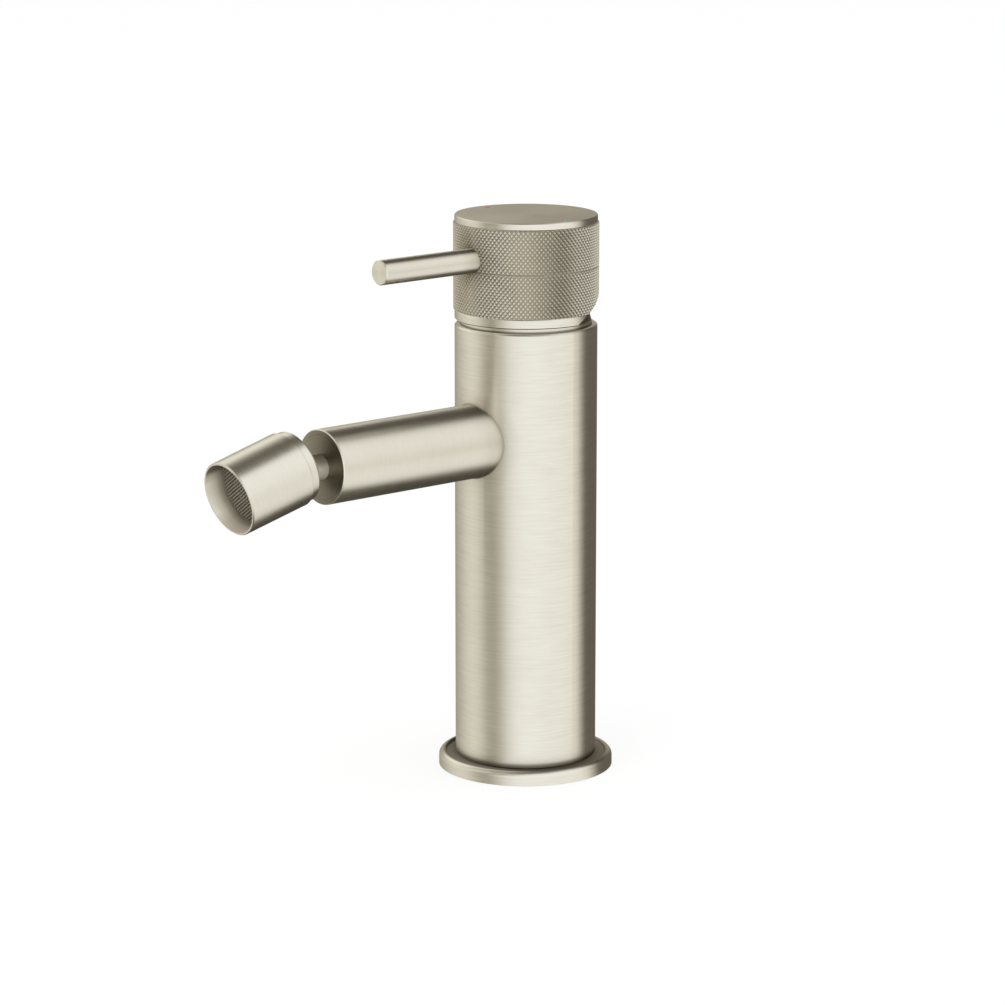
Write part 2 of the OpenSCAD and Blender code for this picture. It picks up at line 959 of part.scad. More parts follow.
module aerator_gasket() {
    color(rubber)
        nozzle_frame()
            difference() {
                drum(inner_r, retainer_u, cage_u);
                sphere(r = seat_r + swing_gap);
            }
}

module aerator_cage() {
    rings = 3;
    per_ring = 6;
    color(plastic)
        nozzle_frame()
            difference() {
                drum(inner_r, cage_u, screen_u);
                drum(inner_r - cage_wall, cage_u - cut, plate_u);
                drum(inner_r - cage_wall, plate_u + plate_h, screen_u + cut);
                for (ring = [1:rings], i = [1:ring * per_ring])
                    rotate([0, 0, i * 360 / (ring * per_ring)])
                        translate([ring * plate_ring, 0, 0])
                            drum(plate_hole_d / 2, plate_u - cut, plate_u + plate_h + cut);
            }
}

module aerator_screen() {
    gap_w = screen_pitch - strand_w;
    weave_angle = 45;
    clear_r = inner_r - cage_wall / 2;
    n = floor(clear_r / screen_pitch);
    color(steel)
        nozzle_frame()
            translate([0, 0, screen_u])
                linear_extrude(height = screen_h)
                    difference() {
                        circle(r = inner_r);
                        rotate(weave_angle)
                            for (i = [-n:n], j = [-n:n])
                                if (norm([i, j]) * screen_pitch + gap_w < clear_r)
                                    translate([i, j] * screen_pitch)
                                        square(gap_w, center = true);
                    }
}

body_shell();
base_flange();
base_gasket();
base_insert();
hot_riser();
cold_riser();
riser_o_rings();
valve_block();
spout_tube();
spout_gland();
gland_o_ring();
spout_end_bush();
ball_stem();
stem_o_ring();
cartridge_base();
port_seals();
fixed_disc();
cartridge_housing();
cartridge_nut();
dome_cover();
turret();
pivot_pin();
moving_disc();
disc_carrier();
spindle();
handle_core();
lower_knurled_sleeve();
upper_knurled_sleeve();
handle_cap();
hot_mark();
cold_mark();
lever_rod();
grub_screw();
ball_liner();
nozzle_housing();
nozzle_collar();
ball_retainer();
aerator_gasket();
aerator_cage();
aerator_screen();
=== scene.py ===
"""Looks of the bidet mixer: brushed nickel, knurled grip, woven outlet screen and a plain studio."""

import json
import math

import bmesh
import bpy
from mathutils import Matrix, Vector


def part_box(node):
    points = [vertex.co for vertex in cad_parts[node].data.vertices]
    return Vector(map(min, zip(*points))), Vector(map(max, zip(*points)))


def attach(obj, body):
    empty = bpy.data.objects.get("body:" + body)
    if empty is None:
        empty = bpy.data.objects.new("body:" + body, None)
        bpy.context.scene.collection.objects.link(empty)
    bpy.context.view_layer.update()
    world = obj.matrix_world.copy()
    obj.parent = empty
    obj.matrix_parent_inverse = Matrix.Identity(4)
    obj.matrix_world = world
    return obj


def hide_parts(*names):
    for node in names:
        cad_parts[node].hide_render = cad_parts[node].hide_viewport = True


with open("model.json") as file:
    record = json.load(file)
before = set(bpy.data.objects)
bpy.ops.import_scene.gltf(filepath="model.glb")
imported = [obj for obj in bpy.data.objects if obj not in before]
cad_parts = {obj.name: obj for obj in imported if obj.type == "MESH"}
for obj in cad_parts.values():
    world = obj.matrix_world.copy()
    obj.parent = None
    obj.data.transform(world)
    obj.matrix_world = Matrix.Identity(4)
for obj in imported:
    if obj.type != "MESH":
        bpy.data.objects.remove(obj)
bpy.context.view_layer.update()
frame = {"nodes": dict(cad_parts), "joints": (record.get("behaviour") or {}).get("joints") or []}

MM = 0.001
X_AXIS = Vector((1, 0, 0))
Y_AXIS = Vector((0, 1, 0))
Z_AXIS = Vector((0, 0, 1))
ORIGIN = Vector((0, 0, 0))
ROUND_STEPS = 96

# Places that the frame gives


def middle(node_name):
    """Centre of a node's box."""
    low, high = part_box(node_name)
    return (low + high) / 2


def hinge_at(joint_name):
    """A point on a joint's axis."""
    return Vector(next(joint["pos_m"] for joint in frame["joints"] if joint["name"] == joint_name))


foot_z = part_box("body_shell")[0].z
body_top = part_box("body_shell")[1].z
body_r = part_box("body_shell")[1].x
spout_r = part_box("spout_tube")[1].x
spout_centre = Vector((0, 0, middle("spout_tube").z))
lever_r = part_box("lever_rod")[1].x
lever_centre = Vector((0, 0, middle("lever_rod").z))
knurl_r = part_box("upper_knurled_sleeve")[1].x
knurl_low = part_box("lower_knurled_sleeve")[0].z
knurl_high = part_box("upper_knurled_sleeve")[1].z
lever_root = Vector((0, -knurl_r, lever_centre.z))
screen_centre = middle("aerator_screen")
screen_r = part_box("aerator_screen")[1].x
ball_centre = hinge_at("nozzle_tilt")
lift_centre = hinge_at("flow_lift")
nozzle_axis = (screen_centre - ball_centre).normalized()
nozzle_up = nozzle_axis.cross(X_AXIS).normalized()

# Camera, at the photograph's viewing angle

CAMERA_AT = Vector((0.80365, -0.6959, 0.3189))
CAMERA_YAW = 139.482
CAMERA_PITCH = -12.67
CAMERA_LENS = 131.466
CAMERA_SENSOR = 36


def make_camera():
    """A camera that looks down a little, with an unshifted lens."""
    data = bpy.data.cameras.new("camera")
    data.sensor_width = CAMERA_SENSOR
    data.lens = CAMERA_LENS
    camera = bpy.data.objects.new("camera", data)
    camera.location = CAMERA_AT
    camera.rotation_euler = (math.radians(90 + CAMERA_PITCH), 0, math.radians(CAMERA_YAW - 90))
    bpy.context.scene.collection.objects.link(camera)
    bpy.context.scene.camera = camera


# Shader nodes

MIX_SHARE = 0
MIX_FIRST = 6
MIX_SECOND = 7
MIX_RESULT = 2


def feed(tree, socket, value):
    """Links a socket to another one, or sets its value."""
    if isinstance(value, bpy.types.NodeSocket):
        tree.links.new(value, socket)
    else:
        socket.default_value = value


def node(tree, kind, inputs=None, **settings):
    """A shader node with its settings, and with each input set or linked."""
    made = tree.nodes.new("ShaderNode" + kind)
    for name, value in settings.items():
        setattr(made, name, value)
    for name, value in (inputs or {}).items():
        feed(tree, made.inputs[name], value)
    return made


def maths(tree, operation, *values):
    """A number from numbers."""
    return node(tree, "Math", dict(enumerate(values)), operation=operation).outputs[0]


def vector(tree, operation, *values):
    """A vector from vectors."""
    return node(tree, "VectorMath", dict(enumerate(values)), operation=operation).outputs["Vector"]


def measure(tree, operation, *values):
    """A number from vectors."""
    return node(tree, "VectorMath", dict(enumerate(values)), operation=operation).outputs["Value"]


def scaled(tree, value, factor):
    """A vector times a number."""
    return node(tree, "VectorMath", {0: value, "Scale": factor}, operation="SCALE").outputs["Vector"]


def spread(tree, value, low, high, to_low, to_high):
    """A number, with its stretch from low to high laid over another stretch."""
    ends = {"Value": value, "From Min": low, "From Max": high, "To Min": to_low, "To Max": to_high}
    return node(tree, "MapRange", ends).outputs["Result"]


def ramp(tree, factor, stops):
    """Colour at a factor, between stops of (position, colour)."""
    made = node(tree, "ValToRGB", {"Fac": factor})
    band = made.color_ramp
    while len(band.elements) < len(stops):
        band.elements.new(1.0)
    for element, (position, colour) in zip(band.elements, stops):
        element.position = position
        element.color = (*colour, 1)
    return made.outputs["Color"]


def mix(tree, share, first, second, blend_type="MIX"):
    """A colour with a share of another over it."""
    inputs = {MIX_SHARE: share, MIX_FIRST: first, MIX_SECOND: second}
    made = node(tree, "Mix", inputs, data_type="RGBA", blend_type=blend_type)
    return made.outputs[MIX_RESULT]


def noise(tree, dimensions, inputs):
    """A noise pattern from 0 to 1."""
    return node(tree, "TexNoise", inputs, noise_dimensions=dimensions).outputs["Fac"]


def bumped(tree, height, strength, depth):
    """Directions of a surface with a relief."""
    inputs = {"Strength": strength, "Distance": depth, "Height": height}
    return node(tree, "Bump", inputs).outputs["Normal"]


def place_on(tree):
    """Where a point lies in its piece."""
    return node(tree, "TexCoord").outputs["Object"]


def new_material(name):
    """A material with only an output and a principled shader."""
    material = bpy.data.materials.new(name)
    material.use_nodes = True
    tree = material.node_tree
    return material, tree, tree.nodes["Principled BSDF"]


def set_inputs(tree, shader, **values):
    """Sets or links the inputs of a shader by their names in lower case."""
    for name, value in values.items():
        feed(tree, shader.inputs[name.replace("_", " ").title()], value)


# Brushed metal

NICKEL_LIGHT = (0.93, 0.91, 0.82)
NICKEL_DARK = (0.82, 0.795, 0.70)
STREAK_WIDTH = 0.55 * MM
STREAK_TURNS = 2.2
STREAK_DEPTH = 0.008 * MM
STREAK_NOISE = {"Scale": 1.0, "Detail": 3.0, "Roughness": 0.6}
STREAK_RANGE = (0.25, 0.75)
STREAK_SHARE = 0.8
CLOUD_SIZE = 9 * MM
CLOUD_NOISE = {"Scale": 1 / CLOUD_SIZE, "Detail": 1.0}
ACROSS_BRUSH = 0.25
TO_WORLD = {"vector_type": "VECTOR", "convert_from": "OBJECT", "convert_to": "WORLD"}
# Shares of red, green and blue that a painted shade takes away on top of its darkening
WARM_LOSS = (0.0, 0.1, 0.25)


def from_axis(tree, centre, axis):
    """Height of a point along an axis, and its arm out from the axis."""
    arm = vector(tree, "SUBTRACT", place_on(tree), centre)
    height = measure(tree, "DOT_PRODUCT", arm, axis)
    return height, vector(tree, "SUBTRACT", arm, scaled(tree, axis, height))


def along(centre, axis):
    """Lets a shade go by the height along an axis."""
    return lambda tree: from_axis(tree, centre, axis)[0]


def out_from(centre, axis):
    """Lets a shade go by the distance from an axis."""
    return lambda tree: measure(tree, "LENGTH", from_axis(tree, centre, axis)[1])


def away_from(point):
    """Lets a shade go by the distance from a point."""
    return lambda tree: measure(tree, "DISTANCE", place_on(tree), point)


def shade(find_place, start, unit, *stops):
    """A painted shade: what it goes by, and stops of (units on from the start, share of light kept)."""
    return find_place, [(start + far * unit, kept) for far, kept in stops]


def warm(kept):
    """What a painted shade keeps of red, green and blue, warmer as it gets darker."""
    return [kept * (1 - loss + loss * kept) for loss in WARM_LOSS]


def shaded(tree, colour, find_place, stops):
    """A colour made darker by a painted shade."""
    low, high = stops[0][0], stops[-1][0]
    share = spread(tree, find_place(tree), low, high, 0, 1)
    kept = ramp(tree, share, [((at - low) / (high - low), warm(light)) for at, light in stops])
    return mix(tree, 1.0, colour, kept, blend_type="MULTIPLY")


def brushed_nickel(
    name,
    centre,
    axis,
    roughness=(0.27, 0.36),
    anisotropic=0.8,
    metallic=1.0,
    contrast=3.0,
    relief=0.5,
    tones=(NICKEL_DARK, NICKEL_LIGHT),
    shades=(),
):
    """Nickel with fine brush lines that run round an axis, made darker by painted shades in its hollows,
    along its contact lines and on some of its sides.
    """
    material, tree, shader = new_material(name)
    height, out = from_axis(tree, centre, axis)
    outward = vector(tree, "NORMALIZE", out)
    round_local = vector(tree, "CROSS_PRODUCT", axis, outward)
    across = maths(tree, "DIVIDE", height, STREAK_WIDTH)
    outwards = maths(tree, "DIVIDE", measure(tree, "LENGTH", out), STREAK_WIDTH)
    line_at = vector(tree, "ADD", scaled(tree, outward, STREAK_TURNS), scaled(tree, axis, across))
    lines = noise(tree, "4D", {"Vector": line_at, "W": outwards, **STREAK_NOISE})
    clouds = noise(tree, "3D", {"Vector": place_on(tree), **CLOUD_NOISE})
    line_part = maths(tree, "MULTIPLY", lines, STREAK_SHARE)
    cloud_part = maths(tree, "MULTIPLY", clouds, 1 - STREAK_SHARE)
    half = 0.5 / contrast
    share = spread(tree, maths(tree, "ADD", line_part, cloud_part), 0.5 - half, 0.5 + half, 0, 1)
    colour = ramp(tree, share, list(enumerate(tones)))
    for find_place, stops in shades:
        colour = shaded(tree, colour, find_place, stops)
    set_inputs(
        tree,
        shader,
        base_color=colour,
        metallic=metallic,
        roughness=spread(tree, lines, *STREAK_RANGE, *roughness),
        normal=bumped(tree, lines, relief, STREAK_DEPTH),
        anisotropic=anisotropic,
        anisotropic_rotation=ACROSS_BRUSH,
        tangent=node(tree, "VectorTransform", {0: round_local}, **TO_WORLD).outputs[0],
    )
    return material


# Plain materials

GRAIN_NOISE = {"Detail": 4.0, "Roughness": 0.6}
GRAIN_RANGE = (0.3, 0.7)
GRAIN_RELIEF = 0.6


def grained(name, dark, light, grain, roughness, depth, metallic=0.0):
    """A material with a fine grain in its colour, gloss and surface."""
    material, tree, shader = new_material(name)
    grains = noise(tree, "3D", {"Vector": place_on(tree), "Scale": 1 / grain, **GRAIN_NOISE})
    set_inputs(
        tree,
        shader,
        base_color=ramp(tree, grains, list(zip(GRAIN_RANGE, (dark, light)))),
        metallic=metallic,
        roughness=spread(tree, grains, *GRAIN_RANGE, *roughness),
        normal=bumped(tree, grains, GRAIN_RELIEF, depth),
    )
    return material


# Mesh pieces

SPLIT_GAP = 0.001 * MM


def new_piece(name, mesh):
    """A piece of the object, with its place in its mesh."""
    piece = bpy.data.objects.new(name, mesh)
    bpy.context.scene.collection.objects.link(piece)
    return piece


def mesh_of(name, points, faces, smooth=False):
    """A mesh from points and faces."""
    mesh = bpy.data.meshes.new(name)
    mesh.from_pydata([tuple(p) for p in points], [], faces)
    mesh.validate()
    mesh.polygons.foreach_set("use_smooth", [smooth] * len(mesh.polygons))
    return mesh


def edited(mesh, change):
    """A mesh after a change to its editable form."""
    work = bmesh.new()
    work.from_mesh(mesh)
    change(work)
    work.to_mesh(mesh)
    work.free()
    return mesh


def made_mesh(name, make, **sizes):
    """A mesh that one bmesh operator makes."""
    return edited(bpy.data.meshes.new(name), lambda work: make(work, **sizes))


def ring_quads(first, count, sides, closed=False):
    """Corners of the quads between rings of points: two on a ring, then two on the next."""
    for i in range(count if closed else count - 1):
        here = first + i * sides
        ahead = first + (i + 1) % count * sides
        for k in range(sides):
            beside = (k + 1) % sides
            yield here + k, here + beside, ahead + beside, ahead + k


def finished(piece, body, material):
    """Sets a piece's body and material."""
    piece.data.materials.clear()
    piece.data.materials.append(material)
    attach(piece, body)


def boolean(piece, tool, operation):
    """Changes a piece's mesh by an exact boolean with a tool, which is used up."""
    modifier = piece.modifiers.new("boolean", "BOOLEAN")
    modifier.solver = "EXACT"
    modifier.operation = operation
    modifier.object = tool
    depsgraph = bpy.context.evaluated_depsgraph_get()
    piece.data = bpy.data.meshes.new_from_object(piece.evaluated_get(depsgraph))
    piece.modifiers.clear()
    bpy.data.objects.remove(tool)


def weld_splits(work):
    """Welds the split edges of a CAD node's mesh."""
    bmesh.ops.remove_doubles(work, verts=work.verts, dist=SPLIT_GAP)


def face_outward(work):
    """Turns all faces outward."""
    bmesh.ops.recalc_face_normals(work, faces=work.faces)


# Knurled grip

KNURL_COUNT = 100
KNURL_PITCH = 1.56 * MM
KNURL_DEPTH = 0.42 * MM
KNURL_FLAT = 0.28
KNURL_MARGIN = 0.035 * MM
KNURL_SPARE_ROWS = 2
LEVER_HOLE_GAP = 0.12 * MM
NECK_GAP = 0.04 * MM
SLIVER = 0.004 * MM

tip_r = knurl_r - KNURL_MARGIN
groove_r = tip_r - KNURL_DEPTH


def knurl_mesh(low, high):
    """A closed bar with crossed grooves: a blunt pyramid stands in every diamond between them."""
    half_angle = math.pi / KNURL_COUNT
    half_pitch = KNURL_PITCH / 2
    columns = 2 * KNURL_COUNT
    rows = 2 * (math.ceil((high - low) / KNURL_PITCH) + KNURL_SPARE_ROWS)
    points, faces, index = [], [], {}

    def row_z(row):
        return low + (row - KNURL_SPARE_ROWS) * half_pitch

    def point(column, row, radius):
        angle = column * half_angle
        return radius * math.cos(angle), radius * math.sin(angle), row_z(row)

    def crossing(column, row):
        key = (column % columns, row)
        if key not in index:
            index[key] = len(points)
            points.append(point(*key, groove_r))
        return index[key]

    corners = [(1, 0), (0, 1), (-1, 0), (0, -1)]
    for row in range(1, rows):
        for column in range(row % 2, columns, 2):
            outer = [crossing(column + a, row + b) for a, b in corners]
            inner = list(range(len(points), len(points) + 4))
            points += [point(column + a * KNURL_FLAT, row + b * KNURL_FLAT, tip_r) for a, b in corners]
            faces.append(inner)
            faces += [[outer[i], outer[(i + 1) % 4], inner[(i + 1) % 4], inner[i]] for i in range(4)]
    for end_row, z_step in ((0, -1), (rows, 1)):
        centre = len(points)
        points.append((0, 0, row_z(end_row + z_step)))
        rim = []
        for column in range(columns):
            rim.append(crossing(column, end_row if (column + end_row) % 2 else end_row - z_step))
        faces += [[rim[i], rim[(i + 1) % columns], centre][::-z_step] for i in range(columns)]
    return edited(mesh_of("knurl", points, faces), face_outward)


def lever_drill():
    """The room round the lever where it enters the grip."""
    depth = 2 * knurl_r
    hole_r = lever_r + LEVER_HOLE_GAP
    lying = Matrix.Translation(lever_centre) @ Matrix.Rotation(math.radians(90), 4, "X")
    mesh = made_mesh(
        "lever_drill",
        bmesh.ops.create_cone,
        cap_ends=True,
        segments=ROUND_STEPS,
        radius1=hole_r,
        radius2=hole_r,
        depth=depth,
        matrix=lying @ Matrix.Translation((0, 0, depth / 2)),
    )
    return new_piece("lever_drill", mesh)


def weld_slivers(work):
    """Welds the slivers that the cuts leave, and takes out faces folded flat on each other."""
    bmesh.ops.triangulate(work, faces=work.faces)
    bmesh.ops.remove_doubles(work, verts=work.verts, dist=SLIVER)
    bmesh.ops.dissolve_degenerate(work, edges=work.edges, dist=SLIVER)
    bmesh.ops.triangulate(work, faces=work.faces)
    stacks = {}
    for face in work.faces:
        stacks.setdefault(frozenset(face.verts), []).append(face)
    folded = [face for stack in stacks.values() if len(stack) > 1 for face in stack]
    bmesh.ops.delete(work, geom=folded, context="FACES")


def knurled_grip(node_name, name, material, neck_material):
    """A sleeve of the handle with its knurl cut into it."""
    mesh = frame["nodes"][node_name].data.copy()
    mesh.name = name
    piece = new_piece(name, edited(mesh, weld_splits))
    boolean(piece, new_piece("knurl", knurl_mesh(knurl_low, knurl_high)), "INTERSECT")
    boolean(piece, lever_drill(), "DIFFERENCE")
    edited(piece.data, weld_slivers)
    piece.data.polygons.foreach_set("use_smooth", [False] * len(piece.data.polygons))
    piece.visible_glossy = False
    finished(piece, "handle", material)
    piece.data.materials.append(neck_material)
    for face in piece.data.polygons:
        on_neck = math.hypot(face.center.x, face.center.y) < groove_r - NECK_GAP
        face.material_index = int(on_neck)
    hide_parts(node_name)


# Woven screen: of each pair of values, the first is for the thick wires and the second for the thin ones

WIRE_PITCH = 0.82 * MM
WIRE_TURN = math.radians(32)
WIRE_RADII = (0.23 * MM, 0.08 * MM)
WIRE_WAVES = (0.02 * MM, 0.29 * MM)
WIRE_SIDES = 6
WIRE_STEPS = 4
SCREEN_RIM = 0.16 * MM
SCREEN_EDGE = 0.05 * MM


def wire_points(forward, offset, half, wave, radius):
    """Rings of points round a wire that waves over and under the wires that it crosses."""
    side = nozzle_axis.cross(forward)
    count = 2 * math.ceil(half / WIRE_PITCH * WIRE_STEPS) + 1
    step = 2 * half / (count - 1)
    points = []
    for i in range(count):
        t = i * step - half
        rise = math.cos(math.pi * t / WIRE_PITCH) * wave
        centre = screen_centre + forward * t + offset + nozzle_axis * rise
        for k in range(WIRE_SIDES):
            angle = 2 * math.pi * k / WIRE_SIDES
            points.append(centre + (side * math.cos(angle) + nozzle_axis * math.sin(angle)) * radius)
    return points


def tube_faces(first, count, sides):
    """Quads along a tube of rings, and a face over each end."""
    last = first + (count - 1) * sides
    ends = [list(range(first, first + sides))[::-1], list(range(last, last + sides))]
    return list(ring_quads(first, count, sides)) + ends


def woven_screen(material):
    """The outlet's screen: wires that pass over and under each other, in a rim."""
    lay = X_AXIS * math.cos(WIRE_TURN) + nozzle_up * math.sin(WIRE_TURN)
    directions = [lay, nozzle_axis.cross(lay)]
    reach = screen_r - SCREEN_RIM / 2
    wires = math.floor(reach / WIRE_PITCH)
    points, faces = [], []
    for family, (forward, beside) in enumerate((directions, directions[::-1])):
        for n in range(-wires, wires + 1):
            off = n * WIRE_PITCH
            half = math.sqrt(reach**2 - off**2)
            wave = (-1) ** (n + family) * WIRE_WAVES[family]
            rings = wire_points(forward, beside * off, half, wave, WIRE_RADII[family])
            faces += tube_faces(len(points), len(rings) // WIRE_SIDES, WIRE_SIDES)
            points += rings
    rim_in, rim_out = screen_r - SCREEN_RIM, screen_r - SCREEN_EDGE
    rim = [(rim_in, 1), (rim_out, 1), (rim_out, -1), (rim_in, -1)]
    faces += ring_quads(len(points), ROUND_STEPS, len(rim), closed=True)
    for i in range(ROUND_STEPS):
        angle = 2 * math.pi * i / ROUND_STEPS
        out = X_AXIS * math.cos(angle) + nozzle_up * math.sin(angle)
        points += [screen_centre + out * r + nozzle_axis * side * SCREEN_RIM for r, side in rim]
    piece = new_piece("woven_screen", mesh_of("woven_screen", points, faces, smooth=True))
    finished(piece, "nozzle", material)
    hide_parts("aerator_screen")


# Joint of spout and body

FILLET_LEG = 0.3 * MM
FILLET_STEPS = 8
FILLET_TURNS = 180
FILLET_ROOT = 0.4 * MM


def spout_fillet(material):
    """The small smooth fillet all round the spout where it meets the body."""
    points = []
    for i in range(FILLET_TURNS):
        angle = 2 * math.pi * i / FILLET_TURNS
        off_spout = Vector((math.cos(angle), 0, math.sin(angle)))
        corner = spout_centre + off_spout * spout_r
        corner.y = -math.sqrt(body_r**2 - corner.x**2)
        off_body = Vector((corner.x, corner.y, 0)).normalized()
        up_body = (off_spout - off_body * off_body.dot(off_spout)).normalized()
        on_body = corner + up_body * FILLET_LEG
        flat = Vector((on_body.x, on_body.y, 0)).normalized() * body_r
        on_body = Vector((flat.x, flat.y, on_body.z))
        on_spout = corner - Y_AXIS * FILLET_LEG
        for k in range(FILLET_STEPS + 1):
            t = k / FILLET_STEPS
            points.append(on_body * (1 - t) ** 2 + corner * 2 * t * (1 - t) + on_spout * t**2)
        points.append(corner - (off_body + off_spout) * FILLET_ROOT)
    quads = ring_quads(0, FILLET_TURNS, FILLET_STEPS + 2, closed=True)
    faces = [(a, d, c, b) for a, b, c, d in quads]
    mesh = mesh_of("spout_fillet", points, faces, smooth=True)
    finished(new_piece("spout_fillet", mesh), "mixer_body", material)


# Studio

WHITE = (1.0, 1.0, 1.0)
FLOOR_R = 8.0
FLOOR_DROP = 0.1 * MM
FLOOR_WHITE = 0.97
FLOOR_GLOW = 0.75
LAMP_AT = Vector((0.35, -0.75, 1.5))
LAMP_AIM = Vector((0, 0, 0.08))
LAMP_SIZE = 1.2
LAMP_POWER = 6
TENT_R = 2.5
TENT_STEPS = (64, 32)
BAND_SLOPE = 0.75
BAND_LEVEL = math.radians(13.8)
SHADE = (0.13, 0.118, 0.094)
DEEP = (0.06, 0.053, 0.041)
BACK = (0.36, 0.32, 0.26)
LEFT_BACK = (0.92, 0.89, 0.81)
ALL_ROUND = (-200, -190, 190, 200)
RIGHT_BACK = (106, 148, 190, 200)
# Panels of the tent: tone, then its soft edges to the right and upwards, in degrees
TENT_PANELS = [
    (LEFT_BACK, (-190, -172, -120, -100), (16, 26, 46, 58)),
    (DEEP, RIGHT_BACK, (18, 32, 190, 200)),
    (DEEP, RIGHT_BACK, (-200, -190, -32, -18)),
    (SHADE, ALL_ROUND, (60, 74, 190, 200)),
    (SHADE, ALL_ROUND, (-200, -190, -57, -43)),
    (BACK, (155, 168, 190, 200), (0, 5, 16, 24)),
    (BACK, (-200, -190, -168, -155), (0, 5, 16, 24)),
]
# Tones round the tent, by the angle in degrees to the right of its front
TENT_BANDS = [
    (-180, (0.32, 0.30, 0.25)),
    (-150, (0.38, 0.35, 0.30)),
    (-125, (0.60, 0.57, 0.51)),
    (-95, (0.82, 0.80, 0.72)),
    (-78, (0.68, 0.65, 0.58)),
    (-62, (0.32, 0.292, 0.242)),
    (-50, (0.345, 0.316, 0.265)),
    (-36, (0.70, 0.68, 0.62)),
    (-26, (0.97, 0.97, 0.96)),
    (0, WHITE),
    (55, (0.94, 0.935, 0.92)),
    (88, (0.87, 0.83, 0.77)),
    (112, SHADE),
    (165, SHADE),
    (180, (0.32, 0.30, 0.25)),
]


def bare_tree(block):
    """The node tree of a new material or world, emptied."""
    block.use_nodes = True
    block.node_tree.nodes.clear()
    return block.node_tree


def past(tree, angle, low, high):
    """0 up to a low angle in degrees, 1 from a high one, smooth between."""
    ends = {"Value": angle, "From Min": math.radians(low), "From Max": math.radians(high)}
    return node(tree, "MapRange", ends, interpolation_type="SMOOTHSTEP").outputs["Result"]


def within(tree, angle, start, full, ease, end):
    """0 outside start and end, in degrees, 1 from full to ease, smooth between."""
    return maths(tree, "SUBTRACT", past(tree, angle, start, full), past(tree, angle, ease, end))


def glossy_only(piece):
    """Leaves a stage piece to the metal's reflections alone."""
    for ray in ("camera", "diffuse", "shadow", "transmission", "volume_scatter"):
        setattr(piece, "visible_" + ray, False)


def tent_material():
    """Pale and dark panels round the object, which its metal reflects."""
    material = bpy.data.materials.new("tent")
    tree = bare_tree(material)
    place = node(tree, "SeparateXYZ", {0: vector(tree, "NORMALIZE", place_on(tree))}).outputs
    around = maths(tree, "ARCTAN2", place["Y"], place["X"])
    rise = maths(tree, "ARCSINE", place["Z"])
    off_level = maths(tree, "SUBTRACT", maths(tree, "ABSOLUTE", rise), BAND_LEVEL)
    slanted = maths(tree, "SUBTRACT", around, maths(tree, "MULTIPLY", off_level, BAND_SLOPE))
    turn = spread(tree, slanted, -math.pi, math.pi, 0, 1)
    tone = ramp(tree, turn, [(angle / 360 + 0.5, band) for angle, band in TENT_BANDS])
    for panel, sideways, upwards in TENT_PANELS:
        share = maths(tree, "MULTIPLY", within(tree, around, *sideways), within(tree, rise, *upwards))
        tone = mix(tree, share, tone, (*panel, 1))
    light = node(tree, "Emission", {"Color": tone, "Strength": 1.0})
    node(tree, "OutputMaterial", {"Surface": light.outputs[0]})
    return material


def seen_directly(tree):
    """1 on camera, glossy and transmission rays, else 0."""
    path = node(tree, "LightPath").outputs
    either = maths(tree, "MAXIMUM", path["Is Camera Ray"], path["Is Glossy Ray"])
    return maths(tree, "MAXIMUM", either, path["Is Transmission Ray"])


def floor_material():
    """A pale floor that keeps a light shadow."""
    material = bpy.data.materials.new("floor")
    tree = bare_tree(material)
    matt = node(tree, "BsdfDiffuse", {"Color": (FLOOR_WHITE, FLOOR_WHITE, FLOOR_WHITE, 1)})
    glow = node(tree, "Emission", {"Color": (*WHITE, 1), "Strength": 1.0})
    share = maths(tree, "MULTIPLY", seen_directly(tree), FLOOR_GLOW)
    mixed = node(tree, "MixShader", {0: share, 1: matt.outputs[0], 2: glow.outputs[0]})
    node(tree, "OutputMaterial", {"Surface": mixed.outputs[0]})
    return material


def make_world():
    """A white world."""
    world = bpy.data.worlds.new("studio")
    tree = bare_tree(world)
    background = node(tree, "Background", {"Color": (*WHITE, 1), "Strength": 1.0})
    node(tree, "OutputWorld", {"Surface": background.outputs[0]})
    bpy.context.scene.world = world


def make_lamp():
    """A soft lamp from above that no reflection shows."""
    data = bpy.data.lights.new("soft_key", "AREA")
    data.shape = "DISK"
    data.size = LAMP_SIZE
    data.energy = LAMP_POWER
    lamp = bpy.data.objects.new("soft_key", data)
    lamp.location = LAMP_AT
    lamp.rotation_euler = (LAMP_AIM - LAMP_AT).to_track_quat("-Z", "Y").to_euler()
    lamp.visible_glossy = False
    bpy.context.scene.collection.objects.link(lamp)


def make_studio():
    """Floor, reflection tent, world and lamp."""
    make_world()
    mesh = made_mesh("floor", bmesh.ops.create_circle, cap_ends=True, segments=ROUND_STEPS, radius=FLOOR_R)
    mesh.materials.append(floor_material())
    floor = new_piece("floor", mesh)
    floor.location.z = -FLOOR_DROP
    floor.visible_glossy = False
    ball = bmesh.ops.create_uvsphere
    mesh = made_mesh("tent", ball, u_segments=TENT_STEPS[0], v_segments=TENT_STEPS[1], radius=TENT_R)
    mesh.materials.append(tent_material())
    tent = new_piece("tent", mesh)
    tent.rotation_euler.z = math.radians(CAMERA_YAW - 180)
    glossy_only(tent)
    make_lamp()


# Faces with a finish of their own, by how squarely they look a given way

SQUARELY = 0.9
HALFWAY = 0.5
A_LITTLE = 0.3


def in_mouth(face):
    """True on the wall of the nozzle's mouth, in front of the screen."""
    arm = face.center - screen_centre
    height = arm.dot(nozzle_axis)
    outward = (arm - nozzle_axis * height).normalized()
    return height > 0 and face.normal.dot(outward) < -HALFWAY


def in_handle(face):
    """True under the handle and in its round hollow."""
    in_hollow = face.normal.dot((lift_centre - face.center).normalized()) > SQUARELY
    return in_hollow or face.normal.z < -A_LITTLE


def on_top(face):
    """True on a flat top."""
    return face.normal.z > SQUARELY


